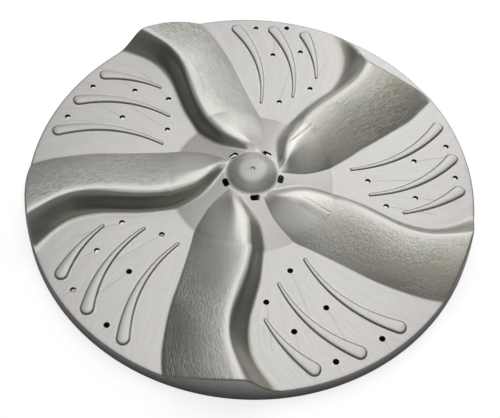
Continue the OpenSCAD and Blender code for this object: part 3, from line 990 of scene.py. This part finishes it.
def silver_plastic():
    """Satin silver coat on moulded plastic.

    Colour: a warm silver with soft clouds that lean to pink and to green, and streaks that run
    out from the hub. On it are painted light and shade: a paler coat along the crests is a
    painted highlight, and a darker olive coat on the steep sides is painted shade. The gentle
    sides of the right half get an olive, darker coat as a painted reflection tint, darker still
    at their foot as painted shade, lighter at the front and darker at the rear. The gentle sides
    and the hub cone inside the low ring are painted lighter, and the rim wall is painted darker
    low down and lighter high up. The vanes' gentle sides have a leathery grain of wrinkles
    stretched along the vane, the steep sides are smoother and glossier, and the whole coat has
    a fine speckle in height and roughness.
    """
    found = bpy.data.materials.get("silver_moulded_plastic")
    if found:
        return found
    mat = bpy.data.materials.new("silver_moulded_plastic")
    mat.use_nodes = True
    bsdf = mat.node_tree.nodes["Principled BSDF"]
    w = Wires(mat.node_tree)
    looks = bpy.context.scene.pulsator_finish
    where = w.nodes.new("ShaderNodeTexCoord").outputs["Object"]
    flow = w.mark("flow", vector=True)
    gentle, steep, crest, foot, seam, wall = (
        w.mark(name) for name in ("gentle", "steep", "crest", "foot", "seam", "wall"))
    x, y, up_wall, _ = w.place("Object")
    split = w.nodes.new("ShaderNodeSeparateXYZ")
    w.put(flow, split.inputs[0])
    radius = split.outputs["Z"]

    clouds = w.noise(where, 21, 3, 0.55)
    wide_clouds = w.noise(w.stretched(where, (1, 1, 0.2)), 9, 1)
    streaks = w.noise(w.stretched(flow, (90, 90, 0.05)), 1, 3, 0.6, 0.4)
    long = w.math("MAXIMUM", w.step(x, 0.05, -0.03, 0.3, 1), w.step(y, 0.0, 0.05, 0, 0.9))
    along = w.noise(w.stretched(flow, (84, 84, 0.22)), 1, 3, 0.62, 1.0)
    leather = w.total(w.product(w.noise(where, 560, 2, 0.6, 0.6), 1.5), -0.25)
    wrinkles = w.total(w.product(long, along), w.product(w.math("SUBTRACT", 1.0, long), leather))
    speckle = w.noise(where, 1400, 2, 0.6)
    fine = w.step(steep, 0, 0.8, 1, 0.12)
    patches = w.noise(w.stretched(flow, (4, 4, 0.03)), 1, 1)
    grain = w.product(gentle, w.step(patches, 0.3, 0.7, 0.4, 1.2), w.step(radius, 35, 125, 0.45, 1.2),
                      w.step(y, 0, 0.05, 1, 1.1), w.step(x, -0.02, -0.08, 1, 2.1))

    silver = w.blend(w.step(clouds, 0.38, 0.62), (*looks.green_silver, 1), (*looks.pink_silver, 1))
    # side is 1 on the right half, where the gentle sides get painted reflection tint and painted shade.
    side = w.step(w.total(x, w.product(y, 0.3)), 0.01, 0.12)
    mottle = w.step(w.noise(where, 80, 3, 0.7), 0.38, 0.62)
    # Painted reflection tint: an olive, darker coat with pinkish blotches for the right half's gentle sides.
    tinted = w.blend(mottle, (*looks.right_half_reflection_silver, 1), (*looks.blush_silver, 1))
    grained = w.blend(side, (*looks.grained_silver, 1), tinted)
    # Painted shade: the foot of the right half's gentle sides gets the darker coat.
    grained = w.blend(w.product(foot, side), grained, (*looks.foot_shade_silver, 1))
    silver = w.blend(w.product(gentle, 0.8), silver, grained)
    # Painted shade: the steep sides get the darker olive coat.
    silver = w.blend(steep, silver, (*looks.flank_shade_silver, 1))
    # Painted highlight: the crests get the paler coat.
    silver = w.blend(w.product(crest, 0.7), silver, (*looks.crest_highlight_silver, 1))
    shade = w.total(
        w.product(w.step(streaks, 0.3, 0.7, -0.045, 0.045), w.step(wall, 0, 1, 1, 0.2)),
        # Painted shade on the rim wall: darker low down, lighter high up.
        w.product(wall, w.step(up_wall, 0.001, 0.022, -0.56, 0.32, smooth=False)), w.step(wide_clouds, 0.35, 0.65, -0.02, 0.02),
        w.product(fine, w.step(speckle, 0.25, 0.75, -0.07, 0.07)),
        w.product(grain, w.step(wrinkles, 0.3, 0.7, -0.1, 0.08), w.step(y, 0, 0.05, 1, 1.6)), w.product(seam, -0.4),
        # Painted light: the hub cone and dome inside the low ring get a lighter coat.
        w.product(w.step(radius, 66, 58), w.step(radius, 4, 12), 0.13),
        # Painted light: the gentle sides inside the low ring are lighter, more so at the rear.
        w.product(gentle, w.step(radius, 72, 48), w.step(y, 0, 0.03, 0.13, 0.24)),
        # Painted light and shade: the right half's gentle sides are lighter at the front, darker at the rear.
        w.product(gentle, side, w.step(y, -0.05, 0.05, 0.045, -0.06)), 1.0)
    tint = w.nodes.new("ShaderNodeVectorMath")
    tint.operation = "SCALE"
    w.put(silver, tint.inputs[0])
    w.put(shade, tint.inputs["Scale"])
    w.put(tint.outputs[0], bsdf.inputs["Base Color"])

    rough = w.total(w.product(gentle, looks.grain_roughness), w.product(steep, looks.flank_roughness),
                    w.product(crest, -0.05), w.product(fine, w.step(speckle, 0.3, 0.7, -0.03, 0.03)),
                    w.step(wide_clouds, 0.3, 0.7, -0.02, 0.02),
                    w.product(w.step(radius, 0.2, 1.5), w.step(radius, 20, 17), 0.1), looks.roughness)
    w.put(rough, bsdf.inputs["Roughness"])
    bsdf.inputs["Metallic"].default_value = looks.metallic

    fold = w.total(*(w.product(fold_mark(w, angle), size) for angle, size in FOLDS))
    height = w.total(w.product(fold, 1 / looks.grain_depth), w.product(grain, w.step(wrinkles, 0.25, 0.75, 0, 0.85, smooth=False)),
                     w.product(streaks, 0.12), w.product(fine, speckle, 0.16))
    w.put(w.bump(height, looks.grain_depth * MM), bsdf.inputs["Normal"])
    return mat


def hole_shade_plastic():
    """Near-black walls of the drain holes and slots: painted shade that keeps the holes dark,
    with a fine mottle of two near-black greys, a mottled roughness and a fine unevenness."""
    mat = bpy.data.materials.new("hole_painted_shade_plastic")
    mat.use_nodes = True
    bsdf = mat.node_tree.nodes["Principled BSDF"]
    w = Wires(mat.node_tree)
    where = w.nodes.new("ShaderNodeTexCoord").outputs["Object"]
    mist = w.noise(where, 600, 3, 0.6)
    w.put(w.blend(w.step(mist, 0.4, 0.75), (0.014, 0.014, 0.013, 1), (0.045, 0.045, 0.042, 1)),
          bsdf.inputs["Base Color"])
    w.put(w.step(mist, 0.3, 0.7, 0.75, 0.6), bsdf.inputs["Roughness"])
    w.put(w.bump(mist, 0.05 * MM), bsdf.inputs["Normal"])
    return mat


# ---------------------------------------------------------------- pieces


class PULSATOR_OT_plate(bpy.types.Operator):
    """Make the moulded plate with its vanes, rim, dome and socket"""

    bl_idname = "pulsator.plate"
    bl_label = "Plate"

    def execute(self, context):
        plate, hub = context.scene.pulsator_plate, context.scene.pulsator_hub
        form = PlateForm(plate, hub)
        rows, top_rows = moulded_section(form)
        top = hub.ring_height + hub.dome_rise - 0.75
        obj = grid_mesh("moulded_plate", carried_round(form, rows),
                        caps=(top, hub.rib_clearance + hub.bore_depth))
        surface_marks(obj, form, rows, top_rows)
        ribs = context.scene.pulsator_ribs
        cut(obj, mesh_object("openings", *opening_cutters(form, ribs)), slot=1)
        cut(obj, mesh_object("grooves", *every_comma(comma_groove, form, ribs)))
        finished(obj)
        return {"FINISHED"}


class PULSATOR_OT_comma_ribs(bpy.types.Operator):
    """Make the comma shaped ribs on the plate, three in each sector"""

    bl_idname = "pulsator.comma_ribs"
    bl_label = "Comma ribs"

    def execute(self, context):
        sizes = context.scene.pulsator_ribs
        form = PlateForm(context.scene.pulsator_plate, context.scene.pulsator_hub)
        finished(mesh_object("comma_ribs", *every_comma(comma_rib, form, sizes)), sharp=50)
        return {"FINISHED"}


class PULSATOR_OT_under_ribs(bpy.types.Operator):
    """Make the ring ribs and spoke ribs on the underside"""

    bl_idname = "pulsator.under_ribs"
    bl_label = "Under ribs"

    def execute(self, context):
        form = PlateForm(context.scene.pulsator_plate, context.scene.pulsator_hub)
        finished(mesh_object("under_ribs", *under_ribs(form, context.scene.pulsator_ribs, context.scene.pulsator_hub)))
        return {"FINISHED"}


class PULSATOR_OT_weld_lines(bpy.types.Operator):
    """Make the hair lines that run out from the drain holes"""

    bl_idname = "pulsator.weld_lines"
    bl_label = "Weld lines"

    def execute(self, context):
        form = PlateForm(context.scene.pulsator_plate, context.scene.pulsator_hub)
        obj = mesh_object("weld_lines", *weld_lines(form, context.scene.pulsator_ribs))
        seam = obj.data.attributes.new("seam", "FLOAT", "POINT")
        seam.data.foreach_set("value", np.ones(len(obj.data.vertices), np.float32))
        finished(obj)
        return {"FINISHED"}


# Soft lamps round the object: azimuth, elevation and power in watts, each a square panel
LAMPS = [
    (90, 58, 3.3), (0, 88, 2.8), (60, 32, 2.9), (120, 32, 0.8), (60, 58, 0.8), (150, 58, 0.7),
    (30, 32, 0.2), (90, 32, 0.25), (90, 8, 1.6), (225, 30, 0.35), (270, 40, 0.5), (315, 30, 0.6), (0, -88, 4)]
LAMP_DISTANCE, LAMP_SIZE = 1.5, 1.0


class PULSATOR_OT_studio(bpy.types.Operator):
    """Make the floor, the lights and the camera"""

    bl_idname = "pulsator.studio"
    bl_label = "Studio"

    def execute(self, context):
        scene, studio = context.scene, context.scene.pulsator_studio
        mesh = bpy.data.meshes.new("floor")
        half = studio.floor_size / 2
        mesh.from_pydata([(-half, -half, 0), (half, -half, 0), (half, half, 0), (-half, half, 0)], [],
                         [(0, 1, 2, 3)])
        floor = bpy.data.objects.new("floor", mesh)
        scene.collection.objects.link(floor)
        floor.data.materials.append(pale_floor(studio))
        camera_data = bpy.data.cameras.new("camera")
        camera_data.sensor_width = 36.0
        camera_data.lens = 663.87 / 500 * 36
        camera_data.shift_x = -1.66 / 500
        camera_data.shift_y = 32.45 / 500
        camera_data.clip_start = 0.01
        camera = bpy.data.objects.new("camera", camera_data)
        scene.collection.objects.link(camera)
        camera.matrix_world = camera_matrix((0, -0.29245, 0.42348), -0.545, 60.41, 3.75)
        scene.camera = camera
        scene.world = studio_world(studio)
        for number, (azimuth, elevation, power) in enumerate(LAMPS):
            lamp = bpy.data.lights.new("soft_lamp_%d" % number, "AREA")
            lamp.size = LAMP_SIZE
            lamp.energy = power
            obj = bpy.data.objects.new(lamp.name, lamp)
            scene.collection.objects.link(obj)
            a, e = math.radians(azimuth), math.radians(elevation)
            place = [LAMP_DISTANCE * v for v in (math.cos(a) * math.cos(e), math.sin(a) * math.cos(e), math.sin(e))]
            obj.matrix_world = aimed(place, (0, 0, 0))
            obj.visible_camera = False
        scene.view_settings.view_transform = "Standard"
        return {"FINISHED"}


def pale_floor(studio):
    """Matt floor that shows nearly white where it is seen, and keeps the object's shadow.

    It glows for camera and transmission rays, and for glossy rays behind the object, where
    the backdrop is. Under the object its colour is near black, a painted shadow, and the glow is
    left only in the rear half and at the left, so the front and the middle under it stay in
    painted shadow.
    Seen from below the floor is clear, and it lets the lamp under it through.
    """
    mat = bpy.data.materials.new("pale_floor")
    mat.use_nodes = True
    bsdf = mat.node_tree.nodes["Principled BSDF"]
    bsdf.inputs["Roughness"].default_value = 0.9
    bsdf.inputs["Emission Color"].default_value = (1, 1, 1, 1)
    w = Wires(mat.node_tree)
    path = w.nodes.new("ShaderNodeLightPath").outputs
    x, y, _, away = w.place("Object")
    # Painted shadow: the floor's colour is near black under the object.
    w.put(w.blend(w.step(away, 0.155, 0.164), (0.02, 0.02, 0.02, 1), (*studio.floor_colour, 1)),
          bsdf.inputs["Base Color"])
    mirrored = w.product(path["Is Glossy Ray"], w.step(y, 0.2, 0.45, at_high=0.4))
    seen = w.math("MAXIMUM", w.math("MAXIMUM", path["Is Camera Ray"], path["Is Transmission Ray"]), mirrored)
    left = w.math("MAXIMUM", w.product(w.math("ADD", x, 0.06), -0.9), 0.0)
    under = w.product(w.step(w.math("ADD", y, left), -0.056, -0.036), w.step(away, 0.0275, 0.0295))
    shown = w.math("MAXIMUM", under, w.step(away, 0.164, 0.168))
    w.put(w.product(seen, shown, w.step(away, 0.3, 1.2, studio.floor_glow, 1.0)),
          bsdf.inputs["Emission Strength"])

    behind = w.nodes.new("ShaderNodeNewGeometry").outputs["Backfacing"]
    clear = w.nodes.new("ShaderNodeMixShader")
    w.put(w.math("MAXIMUM", w.product(behind, path["Is Camera Ray"]), path["Is Shadow Ray"]), clear.inputs[0])
    w.put(bsdf.outputs[0], clear.inputs[1])
    w.put(w.nodes.new("ShaderNodeBsdfTransparent").outputs[0], clear.inputs[2])
    w.put(clear.outputs[0], w.nodes["Material Output"].inputs["Surface"])
    return mat


def studio_world(studio):
    """Dim surroundings with soft light from overhead. Camera and transmission rays see a white
    backdrop, and glossy rays see it low behind the object."""
    world = bpy.data.worlds.new("studio")
    world.use_nodes = True
    w = Wires(world.node_tree)
    path = w.nodes.new("ShaderNodeLightPath").outputs
    _, y, z, _ = w.place("Generated")
    low = w.math("SUBTRACT", 1.0, w.step(z, 0.1, 0.25))
    mirrored = w.product(path["Is Glossy Ray"], w.step(y, 0.6, 0.9, at_high=0.35), low)
    seen = w.math("MAXIMUM", w.math("MAXIMUM", path["Is Camera Ray"], path["Is Transmission Ray"]), mirrored)
    dim = w.blend(w.step(z, 0.35, 0.65), (*studio.surroundings, 1), (*studio.overhead, 1))
    w.put(w.blend(seen, dim, (1, 1, 1, 1)), w.nodes["Background"].inputs["Color"])
    w.nodes["Background"].inputs["Strength"].default_value = 1.0
    return world


def aimed(place, target):
    """Matrix that puts a lamp at place, pointing at target."""
    z = np.array(place, float) - np.array(target, float)
    z /= np.linalg.norm(z)
    x = np.cross((0, 0, 1), z)
    x /= np.linalg.norm(x)
    y = np.cross(z, x)
    return Matrix([(x[i], y[i], z[i], place[i]) for i in range(3)] + [(0, 0, 0, 1)])


def camera_matrix(place, yaw, pitch, roll):
    """Matrix of a camera that looks along +Y, turned by yaw to the left, down by pitch, and rolled."""
    y, p, r = (math.radians(a) for a in (yaw, pitch, roll))
    forward = np.array([-math.sin(y) * math.cos(p), math.cos(y) * math.cos(p), -math.sin(p)])
    right = np.array([math.cos(y), math.sin(y), 0.0])
    up = np.cross(right, forward)
    x = right * math.cos(r) + up * math.sin(r)
    u = -right * math.sin(r) + up * math.cos(r)
    return Matrix([(x[i], u[i], -forward[i], place[i]) for i in range(3)] + [(0, 0, 0, 1)])


class PULSATOR_PT_panel(bpy.types.Panel):
    bl_label = "Pulsator plate"
    bl_idname = "PULSATOR_PT_panel"
    bl_space_type = "VIEW_3D"
    bl_region_type = "UI"
    bl_category = "Pulsator"

    def draw(self, context):
        for operator in OPERATORS:
            self.layout.operator(operator.bl_idname)


OPERATORS = (PULSATOR_OT_plate, PULSATOR_OT_comma_ribs, PULSATOR_OT_under_ribs,
             PULSATOR_OT_weld_lines, PULSATOR_OT_studio)
GROUPS = (("pulsator_plate", PulsatorPlateSizes), ("pulsator_hub", PulsatorHubSizes),
          ("pulsator_ribs", PulsatorRibSizes), ("pulsator_finish", PulsatorFinish),
          ("pulsator_studio", PulsatorStudio))


def register():
    for name, group in GROUPS:
        bpy.utils.register_class(group)
        setattr(bpy.types.Scene, name, PointerProperty(type=group))
    for cls in OPERATORS + (PULSATOR_PT_panel,):
        bpy.utils.register_class(cls)


def unregister():
    for cls in reversed(OPERATORS + (PULSATOR_PT_panel,)):
        bpy.utils.unregister_class(cls)
    for name, group in reversed(GROUPS):
        delattr(bpy.types.Scene, name)
        bpy.utils.unregister_class(group)


def main():
    register()
    bpy.ops.pulsator.plate()
    bpy.ops.pulsator.comma_ribs()
    bpy.ops.pulsator.under_ribs()
    bpy.ops.pulsator.weld_lines()
    bpy.ops.pulsator.studio()


if __name__ == "__main__":
    main()
